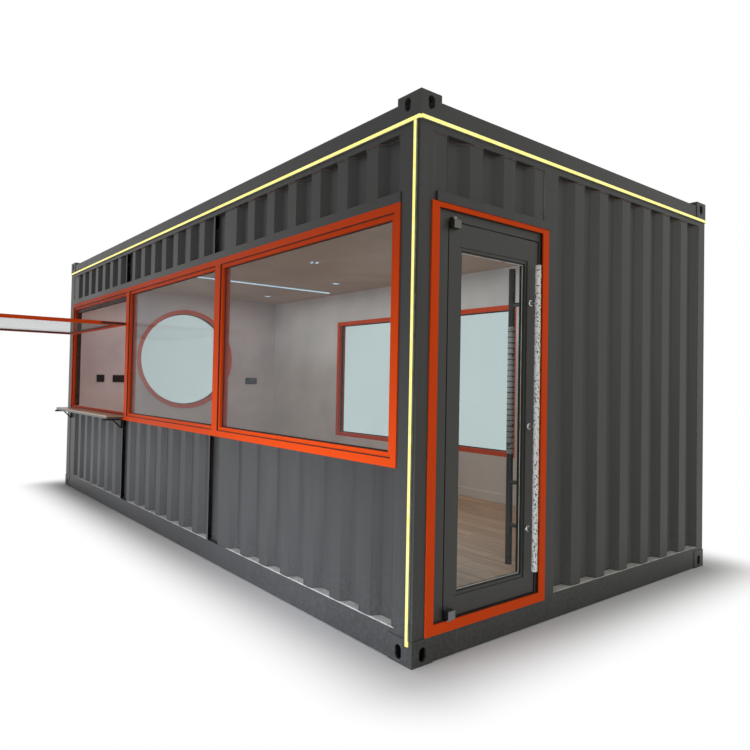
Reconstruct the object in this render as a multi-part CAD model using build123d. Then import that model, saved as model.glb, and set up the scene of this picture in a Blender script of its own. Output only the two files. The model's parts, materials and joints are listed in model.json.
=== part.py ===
from build123d import *
import os

# Container house: a steel box frame with corrugated walls, a glazed band along one long side
# with an open serving bay, a glazed pivot door in one end and a round window in the other.
# Millimetres, +Z up. The glazed band faces -Y and the door end faces +X.

# Overall size over the corner castings
length = 6058
width = 2800
height = 2591

# Corner castings, posts and rails
casting_length = 162
casting_width = 130
casting_height = 118
casting_proud = 4
aperture_width = 42
aperture_height = 66
aperture_depth = 60
aperture_from_corner = 92
aperture_from_corner_end = 66
aperture_from_top = 50
cap_aperture_width = 52
cap_aperture_length = 100
post_size = 90
post_wall = 6
rail_depth = 60
bottom_rail_lift = 3
bottom_rail_top = 140
top_rail_drop = 32
top_rail_height = 138

# Corrugated wall sheet: flat crests outside, flat valleys inside, sloping webs between
sheet = 2
crest_width = 90
web_run = 45
valley_width = 70
corrugation_depth = 36
crest_setback = 4
sheet_edge_min = 4
bay_lead = 20

# Pressed roof sheet
roof_sheet = 2
roof_rib_height = 16
roof_rib_width = 120
roof_rib_pitch = 260
roof_rib_taper = 40
roof_edge_flat = 110
roof_lap = 40

# Floor and linings
floor_top = 175
deck_thickness = 35
member_width = 50
member_height = 110
member_spacing = 480
lining = 13
ceiling_drop = 241
ceiling_thickness = 15
skirting_height = 80
skirting_thickness = 10

# Glazed band in the long side
band_end_margin = 130
band_bottom = 870
band_top_drop = 491
frame_face = 40
frame_proud = 6
bead = 26
bead_setback = 10
bead_thickness = 22
mullion_face = 78
mullion_spacing = 1912
glass = 10
lintel_height = 50
lintel_proud = 5
column_width = 160
column_setback = 34

# Open top-hung sash of the serving bay
sash_bar = 50
sash_thickness = 30
sash_gap = 6
sash_drop = 282
sash_glass = 8
stay_strip = 3
stay_track_width = 9
stay_arm_width = 18
stay_plate = 120
stay_reach = 210

# Folding serving shelf
shelf_depth = 152
shelf_thickness = 30
shelf_rise = 42
shelf_overhang = 10
bracket_leg = 92
bracket_arm = 180
bracket_brace = 92
bracket_plate = 8
bracket_bar = 18
bracket_inset = 10

# Back window and round window
back_window_width = 2800
back_window_bottom = 600
back_window_top_drop = 591
back_frame_face = 45
round_window_radius = 640
round_window_share = 0.5867
round_frame_face = 52

# Door end
door_post_left = 915
door_post_right = 1033
door_jamb_left = 200
door_jamb_right = 882
door_head_drop = 560
surround_left = 78
surround_right = 948
surround_bottom = 120
surround_face = 48
surround_head_face = 24
surround_thickness = 8
door_lintel_height = 45
drip_strip_left = 105
drip_strip_right = 957
drip_strip_depth = 14
threshold_top = 168

# Door leaf, its pivots and its pull handles
leaf_setback = 11
leaf_thickness = 45
leaf_gap = 6
leaf_free_gap = 9
leaf_lift = 7
hinge_stile = 75
lock_stile = 82
leaf_top_rail = 110
leaf_bottom_rail = 90
door_glass = 12
pivot_from_edge = 15
pivot_offset = 19
pivot_reach = 46
pivot_depth = 34
pivot_height = 40
pivot_plate = 12
pivot_boss_radius = 14
pivot_gap = 0.4
handle_radius = 18
sleeve_radius = 13.5
handle_length_share = 0.86
handle_from_foot = 125
handle_from_edge = 52
handle_gap = 32.5
inside_handle_gap = 62
standoff_radius = 11
outside_standoff_shares = (0.133, 0.469, 0.877)
inside_standoff_shares = (0.133, 0.277, 0.877)

# Light strips, ceiling lights and sockets
strip_height = 17
strip_depth = 10
strip_from_corner = 20
corner_strip_bottom = 92
strip_joint = 2
downlight_radius = 38
downlight_depth = 8
downlight_spacing = 1520
downlight_first = 635
downlight_row = 740
centre_light_radius = 58
centre_light_from_door = 2770
centre_light_from_middle = 140
light_line_width = 18
light_line_depth = 10
light_line_from_door = 4380
light_line_margin = 170
socket_size = 86
socket_depth = 9
socket_height = 1250
socket_shares = (-0.76, -0.628, -0.565, 0.64, 0.703)

# Working values
cut_over = 5
band_top = height - band_top_drop
ceiling_height = height - ceiling_drop
back_window_top = height - back_window_top_drop
round_window_height = round_window_share * height
door_head_bottom = height - door_head_drop
wall = post_size
half_length = length / 2
half_width = width / 2
face_x = half_length - casting_proud
face_y = half_width - casting_proud
inner_x = half_length - wall
inner_y = half_width - wall
pitch = crest_width + 2 * web_run + valley_width
mouth = 2 * web_run + valley_width
top_rail_top = height - top_rail_drop
top_rail_bottom = top_rail_top - top_rail_height
deck_bottom = floor_top - deck_thickness
lining_top = ceiling_height + ceiling_thickness
lining_back_x = inner_x + lining
lining_back_y = inner_y + lining
upper_bottom = band_top + lintel_height
band_left = -half_length + band_end_margin
band_right = half_length - band_end_margin
mullions = (band_right - mullion_spacing - frame_face / 2, band_right - 2 * mullion_spacing - frame_face / 2)
frame_front = -face_y - frame_proud
frame_back = -lining_back_y
glass_front = frame_front + bead_setback + bead_thickness

pieces = {}


def block(x0, x1, y0, y1, z0, z1):
    """A box between two corners."""
    return Pos(x0, y0, z0) * Box(x1 - x0, y1 - y0, z1 - z0, align=(Align.MIN, Align.MIN, Align.MIN))


def add(name, *solids):
    """Keep the solids of one named piece."""
    pieces[name] = list(solids)


def from_door(distance):
    """X of a point measured back from the door end."""
    return half_length - distance


def from_front(distance):
    """Y of a point measured back from the glazed side."""
    return -half_width + distance


def corrugated(run, rise, lead=None):
    """A corrugated sheet along +X, crests on y = 0, valleys at +Y, standing up +Z.

    Its valleys stand in the middle of the run, or end a lead short of its +X edge."""
    count = int((run - 2 * sheet_edge_min + crest_width) // pitch)
    spare = run - count * pitch + crest_width
    margin = spare / 2 if lead is None else spare - lead
    outline = [(0, 0)]
    for index in range(count):
        start = margin + index * pitch
        outline.append((start, 0))
        outline.append((start + web_run, corrugation_depth))
        outline.append((start + web_run + valley_width, corrugation_depth))
        outline.append((start + mouth, 0))
    outline.append((run, 0))
    back = [(x, y + sheet) for x, y in reversed(outline)]
    return extrude(make_face(Polyline(*outline, *back, close=True)), rise, dir=(0, 0, 1))


def front_sheet(x0, x1, z0, z1):
    return Pos(x0, -face_y + crest_setback, z0) * corrugated(x1 - x0, z1 - z0, bay_lead)


def back_sheet(x0, x1, z0, z1):
    return Pos(x1, face_y - crest_setback, z0) * Rot(0, 0, 180) * corrugated(x1 - x0, z1 - z0)


def door_end_sheet(y0, y1, z0, z1):
    return Pos(face_x - crest_setback, y0, z0) * Rot(0, 0, 90) * corrugated(y1 - y0, z1 - z0)


def far_end_sheet(y0, y1, z0, z1):
    return Pos(-face_x + crest_setback, y1, z0) * Rot(0, 0, -90) * corrugated(y1 - y0, z1 - z0)


# Corner castings: blocks with a long hole in each outer face
def aperture(normal):
    """A long hole sunk from the origin against an outward normal: upright on sides, along X on top."""
    if normal == "z":
        slot = SlotOverall(cap_aperture_length, cap_aperture_width)
        return Pos(0, 0, cut_over) * Rot(180, 0, 0) * extrude(slot, aperture_depth + cut_over)
    slot = SlotOverall(aperture_height, aperture_width, rotation=90)
    hole = extrude(slot, aperture_depth + cut_over)
    if normal == "x":
        return Pos(cut_over, 0, 0) * Rot(0, -90, 0) * Rot(0, 0, 90) * hole
    return Pos(0, cut_over, 0) * Rot(90, 0, 0) * hole


def corner_casting(top):
    """The casting of the +X +Y corner, with its outer corner at the origin of X and Y."""
    body = block(-casting_length, 0, -casting_width, 0, 0, casting_height)
    level = casting_height - aperture_from_top if top else aperture_from_top
    body -= Pos(0, -aperture_from_corner_end, level) * aperture("x")
    body -= Pos(-aperture_from_corner, 0, level) * aperture("y")
    cap = Pos(-casting_length / 2, -casting_width / 2, casting_height) * aperture("z")
    foot = Pos(-casting_length / 2, -casting_width / 2, 0) * Rot(180, 0, 0) * aperture("z")
    return body - (cap if top else foot)


def at_corners(solid):
    """The same solid mirrored into the four corners of the plan."""
    corner = Pos(half_length, half_width, 0) * solid
    side = mirror(corner, about=Plane.XZ)
    return [corner, side, mirror(corner, about=Plane.YZ), mirror(side, about=Plane.YZ)]


bottom_castings = at_corners(corner_casting(False))
top_castings = [Pos(0, 0, height - casting_height) * c for c in at_corners(corner_casting(True))]
add("bottom_corner_castings", *bottom_castings)
add("top_corner_castings", *top_castings)

post_bottom = casting_height
post_top = height - casting_height
post_outer = block(-post_size, -casting_proud, -post_size, -casting_proud, post_bottom, post_top)
post_inner = block(
    -post_size + post_wall, -casting_proud - post_wall,
    -post_size + post_wall, -casting_proud - post_wall,
    post_bottom, post_top,
)
add("corner_posts", *at_corners(post_outer - post_inner))


# Rails: boxes between the corners, notched round the castings
def without_castings(solid, bottom):
    z0 = 0 if bottom else height - casting_height
    for sx in (-1, 1):
        for sy in (-1, 1):
            x0, x1 = sorted((sx * half_length, sx * (half_length - casting_length)))
            y0, y1 = sorted((sy * half_width, sy * (half_width - casting_width)))
            solid -= block(x0, x1, y0, y1, z0, z0 + casting_height)
    return solid


def side_rail(sign, z0, z1):
    y0, y1 = sorted((sign * face_y, sign * (face_y - rail_depth)))
    return block(-half_length + post_size, half_length - post_size, y0, y1, z0, z1)


def end_rail(sign, z0, z1):
    x0, x1 = sorted((sign * face_x, sign * (face_x - rail_depth)))
    return block(x0, x1, -half_width + post_size, half_width - post_size, z0, z1)


for name, low, z0, z1 in (
    ("bottom", True, bottom_rail_lift, bottom_rail_top),
    ("top", False, top_rail_bottom, top_rail_top),
):
    rails = [rail(sign, z0, z1) for rail in (side_rail, end_rail) for sign in (-1, 1)]
    add(f"{name}_rails", *[without_castings(rail, low) for rail in rails])

# Floor: cross members between the side rails, and the deck on them
member_span = face_y - rail_depth
member_count = int((2 * inner_x - member_width) // member_spacing)
member_run = (member_count - 1) * member_spacing
members = []
for index in range(member_count):
    centre = -member_run / 2 + index * member_spacing
    members.append(
        block(
            centre - member_width / 2, centre + member_width / 2,
            -member_span, member_span, deck_bottom - member_height, deck_bottom,
        )
    )
add("floor_cross_members", *members)
add("floor_deck", block(-inner_x, inner_x, -inner_y, inner_y, deck_bottom, floor_top))

# Roof: one sheet on the rails with ribs pressed up across it, and the ceiling board under it
roof_x = face_x - rail_depth + roof_lap
roof_y = face_y - rail_depth + roof_lap
roof = block(-roof_x, roof_x, -roof_y, roof_y, top_rail_top, top_rail_top + roof_sheet)
roof = without_castings(roof, False)
rib_length = 2 * (roof_y - roof_edge_flat)
rib_outline = Rectangle(roof_rib_width, rib_length)
rib = extrude(rib_outline, roof_rib_height, taper=roof_rib_taper)
rib_count = int((2 * roof_x - 2 * roof_edge_flat) // roof_rib_pitch)
rib_run = (rib_count - 1) * roof_rib_pitch
rib_places = [Pos(-rib_run / 2 + i * roof_rib_pitch, 0, 0) for i in range(rib_count)]
raised = [place * Pos(0, 0, top_rail_top + roof_sheet) * rib for place in rib_places]
pressed = [place * Pos(0, 0, top_rail_top) * rib for place in rib_places]
add("roof_sheet", roof + raised - pressed)
add(
    "ceiling_board",
    block(-inner_x, inner_x, -inner_y, inner_y, ceiling_height, lining_top),
)

# Glazed side: studs beside the posts, set-back columns in line with the mullions, lintel
end_stud_left = block(
    -inner_x, band_left, -face_y, frame_back, bottom_rail_top, top_rail_bottom
)
end_stud_right = block(
    band_right, inner_x, -face_y, frame_back, bottom_rail_top, top_rail_bottom
)
columns = []
for centre in mullions:
    for z0, z1 in ((bottom_rail_top, band_bottom), (upper_bottom, top_rail_bottom)):
        columns.append(
            block(
                centre - column_width / 2, centre + column_width / 2,
                -face_y + column_setback, frame_back, z0, z1,
            )
        )
add("front_wall_columns", end_stud_left, end_stud_right, *columns)
bay_edges = (
    (mullions[0] + column_width / 2, band_right),
    (mullions[1] + column_width / 2, mullions[0] - column_width / 2),
    (band_left, mullions[1] - column_width / 2),
)
add("front_lower_panels", *[front_sheet(a, b, bottom_rail_top, band_bottom) for a, b in bay_edges])
add("front_upper_panels", *[front_sheet(a, b, upper_bottom, top_rail_bottom) for a, b in bay_edges])
door_lintel = block(
    face_x - wall + casting_proud + lining, face_x,
    from_front(post_size), from_front(door_post_left), band_top, band_top + door_lintel_height,
)
add(
    "lintels",
    block(band_left, band_right, -face_y - lintel_proud, frame_back, band_top, upper_bottom),
    door_lintel,
)


# Window frame bars: a face, a step back to the glazing bead, and the depth of the wall
def bar_section(face, bead_sides):
    """Section across (x) and into the wall (y), with a bead on one or both sides."""
    depth = frame_back - frame_front
    bar = Pos(0, depth / 2) * Rectangle(face, depth)
    for side in bead_sides:
        across = side * (face + bead) / 2
        bar += Pos(across, bead_setback + bead_thickness / 2) * Rectangle(bead, bead_thickness)
    return bar


def level_bar(x0, x1, z_outer, up):
    """A head or sill, with its outer edge at z_outer and its bead facing the glass."""
    section = Pos(frame_face / 2, 0) * bar_section(frame_face, (1,))
    bar = extrude(section, x1 - x0)
    turned = Rot(0, 90, 0) * bar if not up else mirror(Rot(0, 90, 0) * bar, about=Plane.XY)
    return Pos(x0, frame_front, z_outer) * turned


window_head = level_bar(band_left, band_right, band_top, False)
window_sill = level_bar(band_left, band_right, band_bottom, True)
add("window_head_and_sill", window_head, window_sill)


def upright(x, face, bead_sides):
    bar = extrude(bar_section(face, bead_sides), band_top - band_bottom - 2 * frame_face)
    return Pos(x, frame_front, band_bottom + frame_face) * bar - window_head - window_sill


uprights = [
    upright(band_right - frame_face / 2, frame_face, (-1,)),
    upright(mullions[0], mullion_face, (-1, 1)),
    upright(mullions[1], mullion_face, (-1, 1)),
    upright(band_left + frame_face / 2, frame_face, (1,)),
]
add("window_uprights", *uprights)


def band_pane(x0, x1):
    return block(
        x0, x1, glass_front, glass_front + glass, band_bottom + frame_face, band_top - frame_face
    )


add(
    "window_glass",
    band_pane(mullions[0] + mullion_face / 2, band_right - frame_face),
    band_pane(mullions[1] + mullion_face / 2, mullions[0] - mullion_face / 2),
)

# Serving bay: the sash stands out level, held by a friction stay at each end
bay_x0 = band_left + frame_face
bay_x1 = mullions[1] - mullion_face / 2
sash_x0 = bay_x0 + sash_gap
sash_x1 = bay_x1 - sash_gap
sash_reach = band_top - band_bottom - 2 * frame_face - 2 * sash_gap
sash_y1 = frame_front
sash_y0 = sash_y1 - sash_reach
sash_top = band_top - frame_face - sash_drop
sash_bottom = sash_top - sash_thickness
sash = block(sash_x0, sash_x1, sash_y0, sash_y1, sash_bottom, sash_top)
sash -= block(
    sash_x0 + sash_bar, sash_x1 - sash_bar, sash_y0 + sash_bar, sash_y1 - sash_bar,
    sash_bottom - cut_over, sash_top + cut_over,
)
sash_middle = (sash_bottom + sash_top) / 2
add("awning_sash", sash)
add(
    "awning_glass",
    block(
        sash_x0 + sash_bar, sash_x1 - sash_bar, sash_y0 + sash_bar, sash_y1 - sash_bar,
        sash_middle - sash_glass / 2, sash_middle + sash_glass / 2,
    ),
)


def stay(face_at, sign):
    """A flat plate on the frame and an arm along the side of the sash; sign points at the sash."""
    plate_x = sorted((face_at, face_at + sign * stay_strip))
    arm_x = sorted((face_at + sign * stay_strip, face_at + sign * sash_gap))
    plate_y = (frame_front, frame_front + stay_track_width)
    plate = block(*plate_x, *plate_y, sash_middle - stay_plate / 2, sash_middle + stay_plate / 2)
    line = Polyline((plate_y[1], sash_middle), (frame_front - stay_reach, sash_middle))
    arm_face = Plane.YZ * make_face(offset(line, stay_arm_width / 2).edges())
    arm = Pos(arm_x[0], 0, 0) * extrude(arm_face, arm_x[1] - arm_x[0], dir=(1, 0, 0))
    arm &= block(*arm_x, frame_front - 2 * stay_reach, plate_y[1], sash_bottom, sash_top)
    return plate + arm


add("awning_stays", stay(bay_x0, 1), stay(bay_x1, -1))

# Serving shelf on two triangular folding brackets
shelf_y1 = frame_front
shelf_top = band_bottom + shelf_rise
shelf_bottom = shelf_top - shelf_thickness
add(
    "serving_shelf",
    block(
        bay_x0 - shelf_overhang, bay_x1 + shelf_overhang,
        shelf_y1 - shelf_depth, shelf_y1, shelf_bottom, shelf_top,
    ),
)


def bracket(x):
    """Flat bar: a leg on the wall, an arm under the shelf past the sill, and a diagonal brace."""
    wall_y = -face_y + crest_setback
    arm_bottom = shelf_bottom - bracket_bar
    leg_bottom = shelf_bottom - bracket_leg
    outer = Polyline(
        (frame_front, shelf_bottom), (wall_y - bracket_arm, shelf_bottom),
        (wall_y - bracket_arm, arm_bottom), (wall_y - bracket_brace, arm_bottom),
        (wall_y - bracket_bar, leg_bottom), (wall_y, leg_bottom),
        (wall_y, band_bottom), (frame_front, band_bottom), close=True,
    )
    inner = Polyline(
        (wall_y - bracket_bar, arm_bottom), (wall_y - bracket_brace + bracket_bar, arm_bottom),
        (wall_y - bracket_bar, leg_bottom + bracket_bar), close=True,
    )
    plate = Plane.YZ * (make_face(outer) - make_face(inner))
    return Pos(x - bracket_plate / 2, 0, 0) * extrude(plate, bracket_plate, dir=(1, 0, 0))


add(
    "shelf_brackets",
    bracket(mullions[1] - column_width / 2 - bracket_inset),
    bracket(bay_x0 + bracket_inset),
)

# Linings of the glazed side: strips below and above the band and beside it
lining_front = (-lining_back_y, -inner_y)
add(
    "front_lining_strips",
    block(-inner_x, inner_x, *lining_front, deck_bottom, band_bottom),
    block(-inner_x, inner_x, *lining_front, band_top, lining_top),
)
add(
    "front_lining_ends",
    block(-inner_x, band_left, *lining_front, band_bottom, band_top),
    block(band_right, inner_x, *lining_front, band_bottom, band_top),
)

# Back wall: corrugated beside, below and above a wide window, lined inside
back_x0 = -back_window_width / 2
back_x1 = back_window_width / 2
add(
    "back_side_panels",
    back_sheet(-inner_x, back_x0, bottom_rail_top, top_rail_bottom),
    back_sheet(back_x1, inner_x, bottom_rail_top, top_rail_bottom),
)
add(
    "back_window_panels",
    back_sheet(back_x0, back_x1, bottom_rail_top, back_window_bottom),
    back_sheet(back_x0, back_x1, back_window_top, top_rail_bottom),
)
lining_back = (inner_y, lining_back_y)
add(
    "back_lining_sides",
    block(-inner_x, back_x0, *lining_back, deck_bottom, lining_top),
    block(back_x1, inner_x, *lining_back, deck_bottom, lining_top),
)
add(
    "back_lining_strips",
    block(back_x0, back_x1, *lining_back, deck_bottom, back_window_bottom),
    block(back_x0, back_x1, *lining_back, back_window_top, lining_top),
)
back_frame_y = (inner_y, face_y + frame_proud)
back_frame = block(back_x0, back_x1, *back_frame_y, back_window_bottom, back_window_top)
back_frame -= block(
    back_x0 + back_frame_face, back_x1 - back_frame_face,
    back_frame_y[0] - cut_over, back_frame_y[1] + cut_over,
    back_window_bottom + back_frame_face, back_window_top - back_frame_face,
)
back_frame += block(
    -back_frame_face / 2, back_frame_face / 2, *back_frame_y,
    back_window_bottom + back_frame_face, back_window_top - back_frame_face,
)
add("back_window_frame", back_frame)
back_glass_y = (back_frame_y[0] + back_frame_y[1]) / 2
back_panes = []
for sign in (-1, 1):
    x0, x1 = sorted((sign * back_frame_face / 2, sign * (back_x1 - back_frame_face)))
    back_panes.append(
        block(
            x0, x1, back_glass_y - glass / 2, back_glass_y + glass / 2,
            back_window_bottom + back_frame_face, back_window_top - back_frame_face,
        )
    )
add("back_window_glass", *back_panes)


# Far end: corrugated sheet and lining, both cut round for the round window's ring
def round_bar(radius, x0, x1):
    """A disc of the round window, from one X to another."""
    disc = extrude(Circle(radius), x1 - x0)
    return Pos(x0, 0, round_window_height) * Rot(0, 90, 0) * disc


ring_x0 = -face_x - frame_proud
ring_x1 = -inner_x + frame_proud
hole = round_bar(round_window_radius, ring_x0 - cut_over, ring_x1 + cut_over)
add("far_end_panel", far_end_sheet(-inner_y, inner_y, bottom_rail_top, top_rail_bottom) - hole)
far_lining = block(-lining_back_x, -inner_x, -inner_y, inner_y, deck_bottom, lining_top)
add("far_end_lining", far_lining - hole)
ring = round_bar(round_window_radius, ring_x0, ring_x1)
ring -= round_bar(round_window_radius - round_frame_face, ring_x0 - cut_over, ring_x1 + cut_over)
add("round_window_frame", ring)
ring_middle = (ring_x0 + ring_x1) / 2
add(
    "round_window_glass",
    round_bar(round_window_radius - round_frame_face, ring_middle - glass / 2, ring_middle + glass / 2),
)

# Door end: post beside the door, sheet beside and over it, lining, threshold
door_wall = (lining_back_x, face_x)
post_y = (from_front(door_post_left), from_front(door_post_right))
add("door_post", block(*door_wall, *post_y, bottom_rail_top, top_rail_bottom))
add(
    "door_end_panels",
    door_end_sheet(post_y[1], half_width - post_size, bottom_rail_top, top_rail_bottom),
    door_end_sheet(from_front(post_size), post_y[0], band_top + door_lintel_height, top_rail_bottom),
)
lining_door = (inner_x, lining_back_x)
add("door_end_lining", block(*lining_door, post_y[0], inner_y, deck_bottom, lining_top))
add("over_door_lining", block(*lining_door, -inner_y, post_y[0], band_top, lining_top))
add(
    "door_threshold",
    block(inner_x, face_x, -inner_y, post_y[0], bottom_rail_top, threshold_top),
)

# Door surround: flat bars over the edges of the opening
surround_x = (face_x, face_x + surround_thickness)
surround_y = (from_front(surround_left), from_front(surround_right))
add(
    "door_surround_jambs",
    block(*surround_x, surround_y[0], surround_y[0] + surround_face, surround_bottom, band_top),
    block(*surround_x, surround_y[1] - surround_face, surround_y[1], surround_bottom, band_top),
)
surround_gap_y = (surround_y[0] + surround_face, surround_y[1] - surround_face)
add(
    "door_surround_bars",
    block(*surround_x, *surround_gap_y, surround_bottom, surround_bottom + surround_face),
    block(*surround_x, *surround_gap_y, band_top - surround_head_face, band_top),
)

add(
    "door_drip_strip",
    block(
        face_x, face_x + drip_strip_depth, from_front(drip_strip_left), from_front(drip_strip_right),
        band_top, band_top + door_lintel_height,
    ),
)

# Fixed door frame
leaf_front = face_x - leaf_setback
frame_x = (inner_x, leaf_front)
jamb_y = (from_front(door_jamb_left), from_front(door_jamb_right))
add(
    "door_frame_jambs",
    block(*frame_x, -inner_y, jamb_y[0], threshold_top, band_top),
    block(*frame_x, jamb_y[1], post_y[0], threshold_top, band_top),
)
add("door_frame_head", block(*frame_x, *jamb_y, door_head_bottom, band_top))

# Door leaf: stiles and rails round one pane
leaf_back = leaf_front - leaf_thickness
leaf_y0 = jamb_y[0] + leaf_gap
leaf_y1 = jamb_y[1] - leaf_free_gap
leaf_z0 = threshold_top + leaf_lift
leaf_z1 = door_head_bottom - leaf_gap
pane_y = (leaf_y0 + hinge_stile, leaf_y1 - lock_stile)
pane_z = (leaf_z0 + leaf_bottom_rail, leaf_z1 - leaf_top_rail)
leaf = block(leaf_back, leaf_front, leaf_y0, leaf_y1, leaf_z0, leaf_z1)
leaf -= block(leaf_back - cut_over, leaf_front + cut_over, *pane_y, *pane_z)
add("door_leaf", leaf)
leaf_middle = (leaf_front + leaf_back) / 2
add("door_glass", block(leaf_middle - door_glass / 2, leaf_middle + door_glass / 2, *pane_y, *pane_z))

# Offset pivots: a plate on the frame and a block on the leaf, top and bottom
pivot_x = leaf_front + pivot_offset
pivot_y = leaf_y0 + pivot_from_edge
pivot_block_y = (leaf_y0, leaf_y0 + pivot_reach)
pivot_block_x = (leaf_front, leaf_front + pivot_depth)
low_boss_bottom = surround_bottom + surround_face
low_block_bottom = leaf_z0
low_boss_top = low_block_bottom - pivot_gap
high_boss_bottom = door_head_bottom
high_block_top = high_boss_bottom - pivot_gap


def pivot_boss(z0, z1):
    """A round boss on the pivot axis, which stays clear of the leaf as it turns."""
    boss = Cylinder(pivot_boss_radius, z1 - z0, align=(Align.CENTER, Align.CENTER, Align.MIN))
    return Pos(pivot_x, pivot_y, z0) * boss


high_arm = block(
    leaf_front, pivot_x, pivot_y - pivot_boss_radius, pivot_y + pivot_boss_radius,
    high_boss_bottom, high_boss_bottom + pivot_plate,
)
high_pivot = high_arm + pivot_boss(high_boss_bottom, high_boss_bottom + pivot_plate)
add("frame_pivots", pivot_boss(low_boss_bottom, low_boss_top), high_pivot)
add(
    "leaf_pivots",
    block(*pivot_block_x, *pivot_block_y, low_block_bottom, low_block_bottom + pivot_height),
    block(*pivot_block_x, *pivot_block_y, high_block_top - pivot_height, high_block_top),
)

# Back-to-back pull handles on standoffs
handle_y = leaf_y1 - handle_from_edge
handle_length = handle_length_share * (leaf_z1 - leaf_z0)
handle_z = (leaf_z0 + handle_from_foot, leaf_z0 + handle_from_foot + handle_length)
outside_x = leaf_front + handle_gap + sleeve_radius
inside_x = leaf_back - inside_handle_gap - handle_radius


def upright_bar(x, y, radius):
    return Pos(x, y, handle_z[0]) * Cylinder(
        radius, handle_length, align=(Align.CENTER, Align.CENTER, Align.MIN)
    )


outside_bar = upright_bar(outside_x, handle_y, sleeve_radius)
inside_bar = upright_bar(inside_x, handle_y, handle_radius)
add("outside_handle_bar", outside_bar)
add("inside_handle_bar", inside_bar)


def standoff(x0, x1, y, share):
    bar = Cylinder(standoff_radius, x1 - x0, align=(Align.CENTER, Align.CENTER, Align.MIN))
    return Pos(x0, y, handle_z[0] + share * handle_length) * Rot(0, 90, 0) * bar


standoffs = [standoff(leaf_front, outside_x, handle_y, s) - outside_bar for s in outside_standoff_shares]
standoffs += [standoff(inside_x, leaf_back, handle_y, s) - inside_bar for s in inside_standoff_shares]
add("handle_standoffs", *standoffs)

# Light strips along the top rails of the two shown sides and down the near corner post
strip_top = height - casting_height
strip_z = (strip_top - strip_height, strip_top)
corner_strip_x = (half_length - casting_proud - strip_from_corner - strip_height, face_x - strip_from_corner)
side_strip = block(-face_x, face_x, -face_y - strip_depth, -face_y, *strip_z)
end_strip = block(face_x, face_x + strip_depth, -face_y, face_y, *strip_z)
corner_strip = block(
    *corner_strip_x, -face_y - strip_depth, -face_y, corner_strip_bottom, strip_z[0] - strip_joint
)
for casting in bottom_castings:
    corner_strip -= casting
add("light_strips", side_strip, end_strip, corner_strip)


# Ceiling lights and sockets
def ceiling_disc(x, y, radius):
    return Pos(x, y, ceiling_height - downlight_depth) * Cylinder(
        radius, downlight_depth, align=(Align.CENTER, Align.CENTER, Align.MIN)
    )


lights = [ceiling_disc(from_door(centre_light_from_door), -centre_light_from_middle, centre_light_radius)]
downlight_count = int((length - 2 * wall - downlight_first) // downlight_spacing) + 1
for index in range(downlight_count):
    for row in (-1, 1):
        spot_x = from_door(downlight_first + index * downlight_spacing)
        lights.append(ceiling_disc(spot_x, row * downlight_row, downlight_radius))
line_x = from_door(light_line_from_door)
lights.append(
    block(
        line_x - light_line_width / 2, line_x + light_line_width / 2,
        -inner_y + light_line_margin, inner_y - light_line_margin,
        ceiling_height - light_line_depth, ceiling_height,
    )
)
add("ceiling_lights", *lights)
sockets = []
for share in socket_shares:
    y = share * half_width
    sockets.append(
        block(
            -inner_x, -inner_x + socket_depth, y - socket_size / 2, y + socket_size / 2,
            socket_height - socket_size / 2, socket_height + socket_size / 2,
        )
    )
add("wall_sockets", *sockets)
skirting_z = (floor_top, floor_top + skirting_height)
skirting_x = inner_x - skirting_thickness
add(
    "skirting_boards",
    block(
        -skirting_x + strip_joint, skirting_x - strip_joint,
        inner_y - skirting_thickness, inner_y, *skirting_z,
    ),
    block(-inner_x, -skirting_x, -inner_y, inner_y, *skirting_z),
    block(skirting_x, inner_x, post_y[0], inner_y, *skirting_z),
)

# The origin is the middle of the underside of the whole part's box
everything = Compound([solid for group in pieces.values() for solid in group])
box = everything.bounding_box()
origin_shift = Pos(-box.center().X, -box.center().Y, -box.min.Z)

os.makedirs("parts", exist_ok=True)
for name, group in pieces.items():
    placed = [origin_shift * solid for solid in group]
    export_step(Compound(placed), f"parts/{name}.step")
print(len(pieces), "nodes, origin moved by", -box.center().X, -box.center().Y, -box.min.Z)
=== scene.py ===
# %% [markdown]
# # A container house, dressed in Blender
# The solid model of the house comes in as a fixed frame: every post, sheet and pane already has its real size
# and place. This lesson gives each piece its finish and adds the small things that solids leave out, such as
# seals, sealant and the glow of the light strips. All lengths are in metres, with Z up, the glazed
# side towards -Y and the door end towards +X.

# %% Load the frame
import json
import math
import bmesh
import bpy
from mathutils import Matrix, Vector


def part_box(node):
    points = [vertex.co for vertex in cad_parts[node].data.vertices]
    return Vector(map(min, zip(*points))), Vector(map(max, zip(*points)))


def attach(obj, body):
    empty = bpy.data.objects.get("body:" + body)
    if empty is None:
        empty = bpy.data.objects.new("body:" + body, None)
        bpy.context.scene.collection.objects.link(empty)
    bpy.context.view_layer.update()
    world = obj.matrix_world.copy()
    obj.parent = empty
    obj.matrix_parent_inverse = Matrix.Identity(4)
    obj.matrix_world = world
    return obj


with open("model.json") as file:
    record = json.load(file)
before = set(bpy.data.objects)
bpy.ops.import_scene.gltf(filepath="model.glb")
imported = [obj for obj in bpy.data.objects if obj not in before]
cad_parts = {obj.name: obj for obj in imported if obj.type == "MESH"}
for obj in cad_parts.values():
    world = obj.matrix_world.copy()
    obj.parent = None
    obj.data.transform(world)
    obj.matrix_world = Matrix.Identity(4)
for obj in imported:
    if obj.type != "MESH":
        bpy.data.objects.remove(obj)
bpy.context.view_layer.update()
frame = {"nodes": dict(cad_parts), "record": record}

scene = bpy.context.scene
nodes = frame["nodes"]

# %% [markdown]
# ## Writing shaders as sums
# A material is a small net of nodes. Wiring it link by link hides the idea, so one class wraps a socket and lets
# plain arithmetic add the Math nodes: `1 - mask * 0.4` reads as it looks. Every other node comes from one method,
# which takes the node's type, its settings and what goes into its sockets.


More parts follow.
